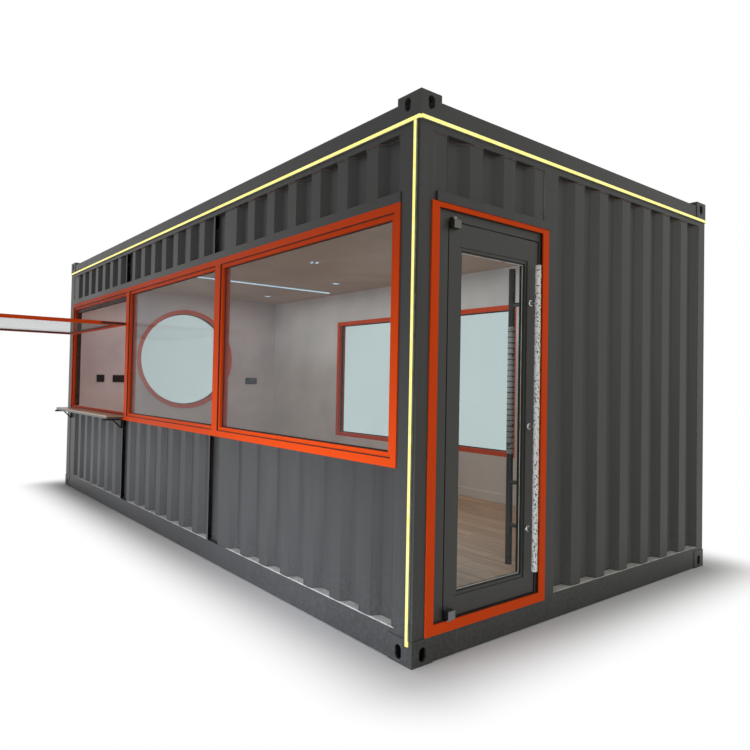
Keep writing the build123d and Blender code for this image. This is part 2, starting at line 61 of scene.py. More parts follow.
# %% A socket that can be added and multiplied
class Wire:
    """One output socket of a material's node net, with arithmetic."""

    def __init__(self, tree, socket=None):
        self.tree = tree
        self.socket = socket

    def node(self, kind, settings=None, sockets=None, out=0):
        """A new node of this net: settings first, then the values or wires of its sockets."""
        made = self.tree.nodes.new(kind)
        for key, value in (settings or {}).items():
            if key == "stops":
                ramp = made.color_ramp
                while len(ramp.elements) < len(value):
                    ramp.elements.new(0.5)
                for element, (place, colour) in zip(ramp.elements, value):
                    element.position = place
                    element.color = colour
            else:
                setattr(made, key, value)
        for key, value in (sockets or {}).items():
            if isinstance(value, Wire):
                self.tree.links.new(value.socket, made.inputs[key])
            else:
                made.inputs[key].default_value = value
        return Wire(self.tree, made.outputs[out])

    def sum(self, operation, a, b=0.0, clamp=False):
        return self.node("ShaderNodeMath", {"operation": operation, "use_clamp": clamp}, {0: a, 1: b})

    def __add__(self, other):
        return self.sum("ADD", self, other)

    def __radd__(self, other):
        return self.sum("ADD", other, self)

    def __sub__(self, other):
        return self.sum("SUBTRACT", self, other)

    def __rsub__(self, other):
        return self.sum("SUBTRACT", other, self)

    def __mul__(self, other):
        return self.sum("MULTIPLY", self, other)

    def __rmul__(self, other):
        return self.sum("MULTIPLY", other, self)

    def clamped(self):
        return self.sum("ADD", self, 0.0, clamp=True)

    def steps(self, low, high):
        """0 below low, 1 above high, smooth between."""
        return self.node(
            "ShaderNodeMapRange",
            {"interpolation_type": "SMOOTHSTEP"},
            {"Value": self, "From Min": low, "From Max": high},
        )

    def tint(self, low, high):
        """A colour between two, by this value."""
        return self.node(
            "ShaderNodeMix",
            {"data_type": "RGBA"},
            {0: self, 6: low, 7: high},
            out=2,
        )


def rgb(red, green, blue):
    """A colour given as a screen shows it, 0 to 255, as the linear values a shader needs."""
    parts = []
    for part in (red, green, blue):
        share = part / 255
        parts.append(share / 12.92 if share <= 0.04045 else ((share + 0.055) / 1.055) ** 2.4)
    return (*parts, 1.0)


def new_finish(name):
    """An empty material, its Principled shader and a wire to build on."""
    material = bpy.data.materials.new(name)
    material.use_nodes = True
    tree = material.node_tree
    shader = tree.nodes["Principled BSDF"]
    return material, shader, Wire(tree)


def feed(shader, **inputs):
    """Sets or links sockets of a shader by name, with _ for spaces."""
    for key, value in inputs.items():
        socket = shader.inputs[key.replace("_", " ")]
        if isinstance(value, Wire):
            value.tree.links.new(value.socket, socket)
        else:
            socket.default_value = value


def own_place(wire):
    """Where a point lies on the piece itself."""
    return wire.node("ShaderNodeTexCoord", out="Object")


def along_axis(wire, vector, axis):
    """One of the three parts of a vector: X, Y or Z."""
    return wire.node("ShaderNodeSeparateXYZ", {}, {"Vector": vector}, out=axis)


def noise(wire, where, scale, detail=3.0, stretch=None):
    """Fractal noise on the piece's own coordinates, drawn out along an axis if asked."""
    if stretch:
        where = wire.node("ShaderNodeMapping", {}, {"Vector": where, "Scale": stretch})
    return wire.node("ShaderNodeTexNoise", {}, {"Vector": where, "Scale": scale, "Detail": detail})


def bumped(wire, height, strength, distance):
    return wire.node("ShaderNodeBump", {}, {"Height": height, "Strength": strength, "Distance": distance})


# %% [markdown]
# ## Painted steel
# The walls and frame are sprayed with anthracite paint over blasted steel. Real paint is never one grey: it is a
# little uneven in tone, fine orange peel breaks up its gloss, rain draws it in faint upright runs and dust settles
# low down. All of that comes from noise on Object coordinates, so it stays put on each piece.


# %% Paint for steel
def into(value, low, high):
    """How deep a value lies inside a span, from its nearer end."""
    from_middle = value.sum("ABSOLUTE", value - (low + high) / 2)
    return (high - low) / 2 - from_middle


def steel_paint(name, tone, dusty, rough, dust=0.35, gloss=0.5, inner_shade_box=None):
    """Sprayed paint. Inside an optional box, past its outer walls, the colour goes near black: painted shade in the
    hollows.
    """
    material, shader, wire = new_finish(name)
    place = own_place(wire)
    cloudy = noise(wire, place, 1.3, 4.0)
    runs = noise(wire, place, 1.0, 5.0, (16.0, 16.0, 0.7))
    speck = noise(wire, place, 60.0, 2.0)
    level = along_axis(wire, place, "Z")
    low = 1 - level.steps(0.02, 0.55)
    film = runs.steps(0.45, 0.8) * 0.45 + low * speck.steps(0.35, 0.75) + cloudy.steps(0.4, 0.75) * 0.35
    film = (film * dust).clamped()
    colour = film.tint(tone, dusty)
    if inner_shade_box:
        depths = []
        for axis, low_end, high_end in zip("XYZ", *inner_shade_box):
            along = along_axis(wire, place, axis)
            depths.append(into(along, low_end, high_end).steps(0.010, 0.014))
        # Painted shade: the colour goes near black more than about 12 mm inside the box's walls, for the shade in the
        # casting holes.
        painted_inner_shade = depths[0] * depths[1] * depths[2]
        colour = painted_inner_shade.tint(colour, rgb(14, 14, 14))
    peel = noise(wire, place, 260.0, 2.0)
    feed(
        shader,
        Base_Color=colour,
        Roughness=(rough + film * 0.35 + (cloudy - 0.5) * 0.12).clamped(),
        Normal=bumped(wire, peel + cloudy * 6.0, 0.12, 0.002),
        Specular_IOR_Level=gloss,
    )
    return material


anthracite = (rgb(61, 61, 59), rgb(98, 99, 102), 0.38, 0.3, 0.25)
grey_steel = steel_paint("anthracite_paint", *anthracite)
orange_steel = steel_paint("orange_paint", rgb(228, 74, 12), rgb(214, 90, 34), 0.5, 0.2, 0.1)
dark_aluminium = steel_paint("powder_coated_aluminium", rgb(48, 48, 44), rgb(80, 79, 74), 0.42, 0.25, 0.4)
black_metal = steel_paint("black_metal", rgb(24, 24, 25), rgb(60, 60, 60), 0.4, 0.25)


# %% [markdown]
# ## Glass
# A pane passes most light and mirrors the rest, more at a glancing angle. Mixing a clear shader with a polished one
# by how much the surface faces away does that without bending the view, and lets the lamps light the room behind.
# A Fresnel node would turn the pane's inner face into a mirror here, because the ray isn't bent on its way in.


# %% Clear glass
def clear_glass(name):
    material, shader, wire = new_finish(name)
    place = own_place(wire)
    haze = noise(wire, place, 1.1, 3.0).steps(0.35, 0.8)
    edge_on = wire.node("ShaderNodeLayerWeight", {}, {"Blend": 0.5}, out="Facing")
    gloss = edge_on.sum("POWER", edge_on, 4.0)
    feed(shader, Base_Color=rgb(150, 156, 156), Roughness=0.03, IOR=1.5)
    clear = wire.node("ShaderNodeBsdfTransparent", {}, {"Color": (0.86, 0.9, 0.9, 1)})
    factor = (0.035 + gloss * 0.8 + haze * 0.03).clamped()
    mixed = wire.node("ShaderNodeMixShader", {}, {0: factor, 1: clear, 2: Wire(wire.tree, shader.outputs[0])})
    output = wire.tree.nodes["Material Output"]
    wire.tree.links.new(mixed.socket, output.inputs["Surface"])
    return material


glass = clear_glass("window_glass")

# %% [markdown]
# ## Boards, floor, lights and bare metal
# The room's linings are smooth boards with a slight unevenness, the floor is laid in staggered planks with drawn-out
# grain, the light strips glow by themselves and the door's fittings are brushed steel.


# %% Boards, floor, lights and the rest
def plain_board(name, tone, shade, rough):
    material, shader, wire = new_finish(name)
    place = own_place(wire)
    cloudy = noise(wire, place, 2.2, 4.0)
    grain = noise(wire, place, 140.0, 2.0)
    feed(
        shader,
        Base_Color=cloudy.steps(0.3, 0.75).tint(tone, shade),
        Roughness=(rough + (cloudy - 0.5) * 0.15).clamped(),
        Normal=bumped(wire, grain, 0.06, 0.002),
    )
    return material


# The back wall's boards are a lighter copy of the wall boards: painted light from the front windows.
lit_back_board = plain_board("back_wall_board", rgb(232, 230, 228), rgb(214, 212, 210), 0.5)
white_board = plain_board("white_wall_board", rgb(226, 216, 218), rgb(206, 196, 199), 0.5)
# The ceiling's warm beige is painted light: warm light on the ceiling, put into its colour.
warm_lit_ceiling_paint = plain_board("warm_lit_ceiling_paint", rgb(206, 183, 164), rgb(192, 170, 152), 0.5)


def shelf_finish():
    """A varnished board, red-brown on top, with a pale front edge over a grey under-strip."""
    material, shader, wire = new_finish("shelf_board")
    place = own_place(wire)
    grain = noise(wire, place, 1.0, 5.0, (4.0, 60.0, 60.0))
    facing = wire.node("ShaderNodeTexCoord", out="Normal")
    top = along_axis(wire, facing, "Z").steps(0.4, 0.6)
    rise = along_axis(wire, place, "Z")
    strip_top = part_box("serving_shelf")[0][2] + 0.016
    edge = rise.steps(strip_top, strip_top + 0.002).tint(rgb(84, 84, 82), rgb(184, 158, 130))
    board = grain.tint(rgb(176, 122, 92), rgb(148, 98, 72))
    colour = top.tint(edge, board)
    feed(
        shader,
        Base_Color=colour,
        Roughness=(0.24 + grain * 0.2).clamped(),
        Normal=bumped(wire, grain, 0.05, 0.001),
    )
    return material


black_plastic = plain_board("black_plastic", rgb(22, 22, 23), rgb(34, 34, 36), 0.3)
white_sleeve = plain_board("white_sleeve", rgb(226, 226, 222), rgb(190, 190, 186), 0.5)


def floor_boards():
    material, shader, wire = new_finish("floor_boards")
    place = own_place(wire)
    bricks = wire.node(
        "ShaderNodeTexBrick",
        {"offset": 0.37},
        {"Vector": place, "Color1": rgb(232, 190, 150), "Color2": rgb(204, 160, 122), "Mortar": rgb(92, 68, 50),
         "Scale": 1.0, "Mortar Size": 0.0018, "Brick Width": 1.2, "Row Height": 0.115},
    )
    grain = noise(wire, place, 1.0, 6.0, (3.0, 55.0, 1.0))
    shade = wire.node(
        "ShaderNodeMix", {"data_type": "RGBA", "blend_type": "MULTIPLY"},
        {0: 0.7, 6: bricks, 7: grain.steps(0.3, 0.7).tint(rgb(150, 142, 136), rgb(255, 255, 255))}, out=2,
    )
    feed(
        shader,
        Base_Color=shade,
        Roughness=(0.34 + grain * 0.2).clamped(),
        Normal=bumped(wire, grain, 0.1, 0.002),
    )
    return material


def lit_panel(name, colour, strength, centre=(255, 250, 200)):
    material, shader, wire = new_finish(name)
    place = own_place(wire)
    dots = noise(wire, place, 45.0, 1.0)
    feed(
        shader,
        Base_Color=rgb(90, 88, 70),
        Roughness=0.5,
        Emission_Color=dots.steps(0.2, 0.8).tint(colour, rgb(*centre)),
        Emission_Strength=strength,
    )
    return material


brushed_tones = (rgb(150, 150, 148), rgb(190, 190, 186))
pivot_tones = (rgb(92, 94, 96), rgb(124, 126, 128))


def bare_steel(name="bare_steel", axis="Z", change=None, tones=brushed_tones):
    """Brushed steel. Where change gives two places on an axis, it goes over to dull grey between them."""
    material, shader, wire = new_finish(name)
    place = own_place(wire)
    brushed = noise(wire, place, 1.0, 4.0, (40.0, 40.0, 600.0))
    tone = brushed.tint(*tones)
    if change:
        along = along_axis(wire, place, axis)
        tone = along.steps(*change).tint(tone, rgb(96, 96, 90))
    feed(
        shader,
        Base_Color=tone,
        Metallic=1.0,
        Roughness=(0.25 + brushed * 0.2).clamped(),
        Normal=bumped(wire, brushed, 0.05, 0.001),
    )
    return material


finishes = {
    "grey_steel": grey_steel,
    "orange_steel": orange_steel,
    "dark_aluminium": dark_aluminium,
    "clear_glass": glass,
    "white_board": white_board,
    "floor_boards": floor_boards(),
    "light_panel": lit_panel("light_panel", rgb(250, 236, 112), 1.05, (255, 250, 160)),
    "black_plastic": black_plastic,
    "black_metal": black_metal,
    "white_sleeve": white_sleeve,
    "bare_steel": bare_steel(),
    "shelf_board": shelf_finish(),
}
for entry in frame["record"]["subparts"]:
    mesh = nodes[entry["node"]].data
    mesh.materials.clear()
    mesh.materials.append(finishes[entry["material_slot"]])
leaf_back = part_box("door_leaf")[0][0]
pivot_change = (0.9, 1.1)
# The castings' paint goes near black deep inside their holes: painted shade.
inner_shade_low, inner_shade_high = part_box("bottom_corner_castings")[0], list(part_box("top_corner_castings")[1])
inner_shade_high[2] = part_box("top_rails")[1][2] + 0.010
casting_paint = steel_paint("casting_paint", *anthracite, (inner_shade_low, inner_shade_high))
own_finishes = {
    "bottom_corner_castings": casting_paint,
    "top_corner_castings": casting_paint,
    "ceiling_board": warm_lit_ceiling_paint,
    "ceiling_lights": lit_panel("cool_light", rgb(176, 220, 255), 1.0, (236, 248, 255)),
    "back_lining_sides": lit_back_board,
    "back_lining_strips": lit_back_board,
    "skirting_boards": lit_back_board,
    # The sash's stays are black metal as painted shade: they sit in the shade along the open sash.
    "awning_stays": black_metal,
    "leaf_pivots": bare_steel("pivot_steel", "Z", pivot_change, pivot_tones),
    "frame_pivots": bare_steel("pivot_boss_steel", "Z", pivot_change, pivot_tones),
    "handle_standoffs": bare_steel("standoff_steel", "X", (leaf_back + 0.01, leaf_back)),
}
for name, finish in own_finishes.items():
    nodes[name].data.materials[0] = finish

# %% [markdown]
# ## Small finishes
# Sealant, rubber, primer and film are small in area but they draw the lines that make a joint look real, so each has
# its own finish: pale and chalky, black and dull, red-brown and patchy, white and speckled.


# %% Sealant, rubber, primer and wrapping film
def mottled(name, tone, other, rough, scale, low, high, metal=0.0):
    """Two tones in patches of a given scale, with matching roughness and a little relief."""
    material, shader, wire = new_finish(name)
    place = own_place(wire)
    patch = noise(wire, place, scale, 4.0)
    blotch = patch.steps(low, high)
    feed(
        shader,
        Base_Color=blotch.tint(tone, other),
        Roughness=(rough + blotch * 0.15).clamped(),
        Metallic=metal,
        Normal=bumped(wire, patch, 0.15, 0.002),
    )
    return material


sealant = mottled("pale_sealant", rgb(192, 191, 185), rgb(154, 153, 148), 0.55, 25.0, 0.45, 0.75)
grey_sealant = mottled("grey_sealant", rgb(128, 126, 120), rgb(100, 98, 94), 0.6, 25.0, 0.45, 0.75)
rubber = mottled("black_rubber", rgb(18, 18, 18), rgb(34, 33, 32), 0.65, 40.0, 0.4, 0.7)
# Dark brown for the bay's stop: painted shade under the bay's head, on a real stop.
brown_painted_shade = mottled("brown_painted_shade", rgb(52, 26, 18), rgb(34, 20, 16), 0.6, 20.0, 0.4, 0.7)
primer = mottled("primer_and_rust", rgb(112, 92, 84), rgb(70, 58, 52), 0.7, 18.0, 0.4, 0.65)
rosette_steel = mottled("polished_steel", rgb(188, 188, 186), rgb(150, 150, 148), 0.22, 30.0, 0.4, 0.7, 1.0)
spacer_metal = mottled("spacer_aluminium", rgb(196, 196, 190), rgb(164, 164, 158), 0.45, 20.0, 0.4, 0.7)
channel_metal = mottled("matt_aluminium", rgb(150, 149, 132), rgb(118, 118, 106), 0.5, 20.0, 0.4, 0.7)
film = mottled("wrapping_film", rgb(232, 232, 228), rgb(62, 60, 56), 0.32, 95.0, 0.56, 0.62)


def ringed_film(name, spacing):
    """Pale film with a dark ring at every spacing and a few torn dark patches."""
    material, shader, wire = new_finish(name)
    place = own_place(wire)
    rise = along_axis(wire, place, "Z")
    torn = noise(wire, place, 42.0, 3.0)
    turns = rise * (1 / spacing) + torn * 0.5
    ring = turns.sum("FRACT", turns).steps(0.78, 0.86)
    dark = (ring + torn.steps(0.62, 0.68)).clamped()
    feed(
        shader,
        Base_Color=dark.tint(rgb(240, 240, 232), rgb(58, 58, 55)),
        Roughness=(0.3 + dark * 0.2).clamped(),
        Normal=bumped(wire, torn, 0.2, 0.002),
    )
    return material


banded_film = ringed_film("banded_film", 0.030)

# %% [markdown]
# ## Building small pieces
# Each small piece is a bmesh that starts from a block, a disc or a few vertices and is shaped by operators. A helper
# turns the finished bmesh into an object, faces its normals outwards and lets it ride on the house or on the door.


# %% Helpers for small pieces
def block_into(mesh, low, high, soft=0.0):
    """Adds a block between two corners, with softened edges if asked."""
    low, high = Vector(low), Vector(high)
    verts = bmesh.ops.create_cube(mesh, size=1.0)["verts"]
    bmesh.ops.scale(mesh, verts=verts, vec=high - low)
    bmesh.ops.translate(mesh, verts=verts, vec=(low + high) / 2)
    if soft:
        edges = list({edge for vert in verts for edge in vert.link_edges})
        bmesh.ops.bevel(mesh, geom=edges, offset=soft, affect="EDGES", segments=2, profile=0.5, material=-1)


def frame_into(mesh, low, high, across, face):
    """Adds four bars just inside a rectangle's edge. across is the axis (0, 1 or 2) through the pane."""
    low, high = list(low), list(high)
    a, b = [axis for axis in range(3) if axis != across]
    for axis, other in ((a, b), (b, a)):
        for end in (0, 1):
            bar_low, bar_high = list(low), list(high)
            if end:
                bar_low[axis] = high[axis] - face
            else:
                bar_high[axis] = low[axis] + face
            if axis == b:
                bar_low[other] += face
                bar_high[other] -= face
            block_into(mesh, bar_low, bar_high)


def turned_into(mesh, profile, centre, axis, steps=48):
    """Adds a turned piece: a profile of (radius, height) spun round an axis through the centre."""
    axis = Vector(axis)
    side = axis.orthogonal().normalized()
    verts = [mesh.verts.new(Vector(centre) + side * r + axis * h) for r, h in profile]
    edges = [mesh.edges.new(pair) for pair in zip(verts, verts[1:])]
    bmesh.ops.spin(
        mesh, geom=verts + edges, cent=centre, axis=axis, angle=2 * math.pi, steps=steps, use_merge=True
    )


def keep(name, mesh, finish, body="house", smooth=False):
    """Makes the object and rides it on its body."""
    bmesh.ops.remove_doubles(mesh, verts=mesh.verts, dist=1e-6)
    bmesh.ops.recalc_face_normals(mesh, faces=mesh.faces)
    data = bpy.data.meshes.new(name)
    mesh.to_mesh(data)
    mesh.free()
    if smooth:
        data.polygons.foreach_set("use_smooth", [True] * len(data.polygons))
    data.materials.append(finish)
    made = bpy.data.objects.new(name, data)
    scene.collection.objects.link(made)
    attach(made, body)
    print("made", name, "with", len(data.polygons), "faces")
    return made


def bead_along(name, runs, radius, finish, body="house"):
    """A round bead of sealant or weld along one or more lines of points, as one mesh."""
    curve = bpy.data.curves.new(name, "CURVE")
    curve.dimensions = "3D"
    curve.bevel_depth = radius
    curve.bevel_resolution = 1
    curve.use_fill_caps = True
    for run in runs:
        spline = curve.splines.new("POLY")
        spline.points.add(len(run) - 1)
        for point, at in zip(spline.points, run):
            point.co = (*at, 1.0)
    holder = bpy.data.objects.new(name, curve)
    mesh = bmesh.new()
    mesh.from_mesh(bpy.data.meshes.new_from_object(holder))
    bpy.data.objects.remove(holder)
    return keep(name, mesh, finish, body, smooth=True)


# %% [markdown]
# ## Where the sheets run
# The corrugated sheets are welded between the rails. To lay sealant in their valleys, the script needs each sheet's
# run again: its two ends, its foot and head, and a function from run and depth to a point in the house.

# %% Runs of the corrugated sheets
house_low, house_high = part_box("bottom_corner_castings")
casting_proud = 0.004
front_y, back_y = house_low[1] + casting_proud, house_high[1] - casting_proud
far_x, door_x = house_low[0] + casting_proud, house_high[0] - casting_proud
middle_y = (house_low[1] + house_high[1]) / 2
crest, web, valley, depth, setback, pitch = 0.090, 0.045, 0.070, 0.036, 0.004, 0.250
end_play, front_lead = 0.008, 0.020
rail_top, sheet_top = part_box("bottom_rails")[1][2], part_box("top_rails")[0][2]
band_low, band_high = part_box("window_head_and_sill")
band_left, band_right = band_low[0], band_high[0]
frame_front = band_low[1]
mullion_spacing, mullion_offset, half_column = 1.912, 0.020, 0.080
mullion_x = tuple(band_right - count * mullion_spacing - mullion_offset for count in (1, 2))
lintel_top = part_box("lintels")[1][2]
past_door, over_door = 1.033, 0.915
post_right = house_low[1] + past_door
post_left = house_low[1] + over_door


def valley_starts(run, lead=None):
    """Where the valleys of a sheet begin, centred in its run or with a given flat at its far end."""
    count = int((run - end_play + crest) // pitch)
    spare = run - count * pitch + crest
    first = spare / 2 if lead is None else spare - lead
    return [first + index * pitch for index in range(count)]


def on_front(x0):
    return lambda u, v, z: Vector((x0 + u, front_y + setback + v, z))


def on_back(x1):
    return lambda u, v, z: Vector((x1 - u, back_y - setback - v, z))


def on_door_end(y0):
    return lambda u, v, z: Vector((door_x - setback - v, y0 + u, z))


def on_far_end(y1):
    return lambda u, v, z: Vector((far_x + setback + v, y1 - u, z))


bays = (
    (mullion_x[0] + half_column, band_right),
    (mullion_x[1] + half_column, mullion_x[0] - half_column),
    (band_left, mullion_x[1] - half_column),
)
post = 0.090
inner_low, inner_high = house_low[1] + post, house_high[1] - post
back_low, back_high = house_low[0] + post, house_high[0] - post
back_window_low, back_window_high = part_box("back_window_frame")
front_runs = [(on_front(a), b - a, front_lead) for a, b in bays]
beside_door = (on_door_end(post_right), inner_high - post_right, None)
above_door = (on_door_end(inner_low), post_left - inner_low, None)
far_run = (on_far_end(inner_high), inner_high - inner_low, None)
back_ends = (back_low, back_window_low[0], back_window_high[0], back_high)
back_runs = [(on_back(b), b - a, None) for a, b in zip(back_ends, back_ends[1:])]
feet = [*front_runs, beside_door, far_run, *back_runs]
heads = [*front_runs, beside_door, above_door, far_run, *back_runs]
print(len(feet), "runs of sheet at the bottom rails,", len(heads), "at the top rails")

# %% [markdown]
# ## Sealant in the valleys
# Where a valley of the sheet meets the bottom rail there is a small ledge, and the maker fills it with a sloping wedge
# of pale sealant so that rain runs off. A wedge is one sloping face, high along the sheet and low at the rail's edge,
# with thin ends smeared along the crests, and it is extruded down to the rail.

# %% Sealant wedges and weld beads
wedges = bmesh.new()
spill, lip, hair = 0.5 * crest, 0.003, 0.001
edge_rise, smear_rise, foot_rise, crown_rise = 0.001, 0.003, 0.005, 0.013
for spot, run, lead in feet:
    for start in valley_starts(run, lead):
        end = start + 2 * web + valley
        outline = (
            (start - spill, -lip, edge_rise), (start - spill, -hair, smear_rise), (start, -hair, foot_rise),
            (start + web, depth, crown_rise), (end - web, depth, crown_rise),
            (end, -hair, foot_rise), (end + spill, -hair, smear_rise), (end + spill, -lip, edge_rise),
        )
        inside = [(min(max(u, 0.0), run), v, lift) for u, v, lift in outline]
        top = wedges.faces.new([wedges.verts.new(spot(u, v, rail_top + lift)) for u, v, lift in inside])
        foot = bmesh.ops.extrude_face_region(wedges, geom=[top])["geom"]
        for vert in foot:
            if isinstance(vert, bmesh.types.BMVert):
                vert.co.z = rail_top
keep("sealant_wedges", wedges, sealant)


def sheet_line(spot, run, lead, z, out=0.002):
    """The folded line of a sheet's outer face at one height."""
    line = [spot(0.0, -out, z)]
    for start in valley_starts(run, lead):
        line += [spot(start, -out, z), spot(start + web, depth - out, z)]
        line += [spot(start + web + valley, depth - out, z), spot(start + 2 * web + valley, -out, z)]
    return line + [spot(run, -out, z)]


bead_in, weld_radius, edge_radius = 0.003, 0.0028, 0.0025
bead_along(
    "weld_beads_under_top_rails",
    [sheet_line(spot, run, lead, sheet_top - bead_in) for spot, run, lead in heads],
    weld_radius, primer,
)
drip_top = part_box("door_drip_strip")[1][2]
bead_along(
    "sheet_edge_beads",
    [[(x, front_y + bead_in, z0), (x, front_y + bead_in, z1)]
     for x in (band_left, band_right) for z0, z1 in ((rail_top, band_low[2]), (lintel_top, sheet_top))]
    + [[(door_x - bead_in, y, z0), (door_x - bead_in, y, sheet_top)]
       for y, z0 in ((post_right, rail_top), (inner_high, rail_top), (post_left, drip_top), (inner_low, drip_top))],
    edge_radius, grey_sealant,
)

# %% [markdown]
# ## Window seals
# Each pane sits behind an orange bead with a black rubber seal, and a thin dark joint shows between the frame's face
# and that bead. Both are slim frames of four bars, laid on the glass and into the corner of the step.

# %% Seals of the glazed band
glass_low, glass_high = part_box("window_glass")
half_mullion, end_upright, bead_step = 0.039, 0.040, 0.026
seal_depth, seal_face = 0.003, 0.007
joint_front, joint_back, joint_face = 0.003, 0.010, 0.0035
panes = (
    (mullion_x[0] + half_mullion, band_right - end_upright),
    (mullion_x[1] + half_mullion, mullion_x[0] - half_mullion),
)
seals = bmesh.new()
joints = bmesh.new()
for x0, x1 in panes:
    for y0, y1 in ((glass_low[1] - seal_depth, glass_low[1]), (glass_high[1], glass_high[1] + seal_depth)):
        inset = bead_step if y0 < glass_low[1] else 0.0
        frame_into(
            seals, (x0 + inset, y0, glass_low[2] + inset), (x1 - inset, y1, glass_high[2] - inset), 1, seal_face
        )
bay_sides = (*panes, (band_left + end_upright, mullion_x[1] - half_mullion))
for x0, x1 in bay_sides:
    frame_into(
        joints,
        (x0, frame_front + joint_front, glass_low[2]),
        (x1, frame_front + joint_back, glass_high[2]), 1, joint_face,
    )
keep("window_seals", seals, rubber)
keep("window_bead_joints", joints, rubber)

# %% [markdown]
# ## Stop of the serving bay
# The open bay keeps the stop that its sash closes against: a dark strip along the head and down both jambs, set at the
# room side of the frame. Its dark brown is painted shade, which draws the dark line under the bay's head.

# %% Stop strips of the serving bay
stop = bmesh.new()
bay_left, bay_right = bay_sides[2][0] + bead_step, bay_sides[2][1] - bead_step
bay_top, bay_bottom = glass_high[2] - bead_step, glass_low[2] + bead_step
stop_y = (frame_front + 0.036, band_high[1] - 0.002)
stop_head, stop_jamb, stop_soft = 0.034, 0.024, 0.003
block_into(stop, (bay_left, stop_y[0], bay_top - stop_head), (bay_right, stop_y[1], bay_top), stop_soft)
for x0, x1 in ((bay_left, bay_left + stop_jamb), (bay_right - stop_jamb, bay_right)):
    block_into(stop, (x0, stop_y[0], bay_bottom), (x1, stop_y[1], bay_top - stop_head), stop_soft)
keep("serving_bay_stop", stop, brown_painted_shade)

# %% [markdown]
# ## Seals of the other panes
# The back window, the open sash and the round window hold their glass between two rubber seals. The straight ones are
# frames of four bars again. The round one is turned: its small profile is spun once round the window's axis.

# %% Seals of the back window, round window and sash
half_back_mullion, pane_seal, pane_seal_face = 0.0225, 0.006, 0.009
back_seals = bmesh.new()
for node, across in (("back_window_glass", 1), ("awning_glass", 2)):
    low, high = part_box(node)
    spans = [(low[0], high[0])]
    if node == "back_window_glass":
        middle = (low[0] + high[0]) / 2
        spans = [(low[0], middle - half_back_mullion), (middle + half_back_mullion, high[0])]
    for x0, x1 in spans:
        for face, side in ((low[across], -1), (high[across], 1)):
            strip_low, strip_high = [x0, low[1], low[2]], [x1, high[1], high[2]]
            strip_low[across], strip_high[across] = sorted((face, face + side * pane_seal))
            frame_into(back_seals, strip_low, strip_high, across, pane_seal_face)
keep("pane_seals", back_seals, rubber)
ring_low, ring_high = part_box("round_window_glass")
ring_centre = [(a + b) / 2 for a, b in zip(ring_low, ring_high)]
ring_radius = (ring_high[2] - ring_low[2]) / 2
ring_seals = bmesh.new()
for side, face in ((-1, ring_low[0]), (1, ring_high[0])):
    at = (face, ring_centre[1], ring_centre[2])
    lower, upper = ring_radius - 0.010, ring_radius - 0.008
    outline = ((ring_radius, 0.0), (lower, 0.0), (upper, pane_seal), (ring_radius, pane_seal))
    turned_into(ring_seals, (*outline, outline[0]), at, (side, 0, 0), 96)
keep("round_window_seals", ring_seals, rubber)

# %% [markdown]
# ## Door
# The leaf's pane is held by slim aluminium beads with a black seal inside them. The pull bars stand on round plates,
# and both still wear the maker's wrapping: speckled white film on the outside bar, a banded piece on the inside one.

# %% Door beads, seals and handle dressing
leaf_low, leaf_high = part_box("door_leaf")
pane_low, pane_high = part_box("door_glass")
bead_face, bead_back, door_seal, door_seal_face = 0.016, 0.005, 0.007, 0.006
spacer_in, spacer_deep, spacer_face = 0.022, 0.0015, 0.005
beads, door_seals = bmesh.new(), bmesh.new()
for face, side, rim in ((pane_high[0], 1, leaf_high[0]), (pane_low[0], -1, leaf_low[0])):
    x0, x1 = sorted((face, rim - side * bead_back))
    frame_into(beads, (x0, pane_low[1], pane_low[2]), (x1, pane_high[1], pane_high[2]), 0, bead_face)
    x0, x1 = sorted((face, face + side * door_seal))
    frame_into(
        door_seals,
        (x0, pane_low[1] + bead_face, pane_low[2] + bead_face),
        (x1, pane_high[1] - bead_face, pane_high[2] - bead_face), 0, door_seal_face,
    )
spacer = bmesh.new()
frame_into(
    spacer,
    (pane_high[0], pane_low[1] + spacer_in, pane_low[2] + spacer_in),
    (pane_high[0] + spacer_deep, pane_high[1] - spacer_in, pane_high[2] - spacer_in), 0, spacer_face,
)
keep("door_pane_spacer", spacer, spacer_metal, "door")
keep("door_glazing_beads", beads, dark_aluminium, "door")
keep("door_glass_seals", door_seals, rubber, "door")


def bar_axis(node):
    """A pull bar's middle in X and Y, its two ends in Z and its radius."""
    low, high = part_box(node)
    return (low[0] + high[0]) / 2, (low[1] + high[1]) / 2, low[2], high[2], (high[0] - low[0]) / 2


out_x, out_y, out_z0, out_z1, out_r = bar_axis("outside_handle_bar")
in_x, in_y, in_z0, in_z1, in_r = bar_axis("inside_handle_bar")
wrap = bmesh.new()
wrap_steps, wrap_tight, wrap_loose, wrap_end = 120, 0.0004, 0.0015, 0.004
profile = [(out_r + wrap_tight, 0.0)]
for index in range(wrap_steps + 1):
    share = index / wrap_steps
    ripple = 0.0006 * math.sin(share * 190) + 0.0005 * math.sin(share * 71 + 1.3)
    profile.append((out_r + wrap_loose + ripple, wrap_end + share * (out_z1 - out_z0 - 2 * wrap_end)))
profile.append((out_r + wrap_tight, out_z1 - out_z0))
turned_into(wrap, profile, (out_x, out_y, out_z0), (0, 0, 1), 28)
keep("outside_handle_film", wrap, film, "door", smooth=True)
inner_wrap = bmesh.new()
film_low_share, film_high_share = 0.373, 0.803
film_foot = in_z0 + film_low_share * (in_z1 - in_z0)
film_rise = (film_high_share - film_low_share) * (in_z1 - in_z0)
film_tight, film_loose, film_end = in_r + 0.0003, in_r + 0.0018, 0.003
turned_into(
    inner_wrap,
    [(film_tight, 0.0), (film_loose, film_end), (film_loose, film_rise - film_end), (film_tight, film_rise)],
    (in_x, in_y, film_foot), (0, 0, 1), 28,
)
keep("inside_handle_film", inner_wrap, banded_film, "door", smooth=True)
plates = bmesh.new()
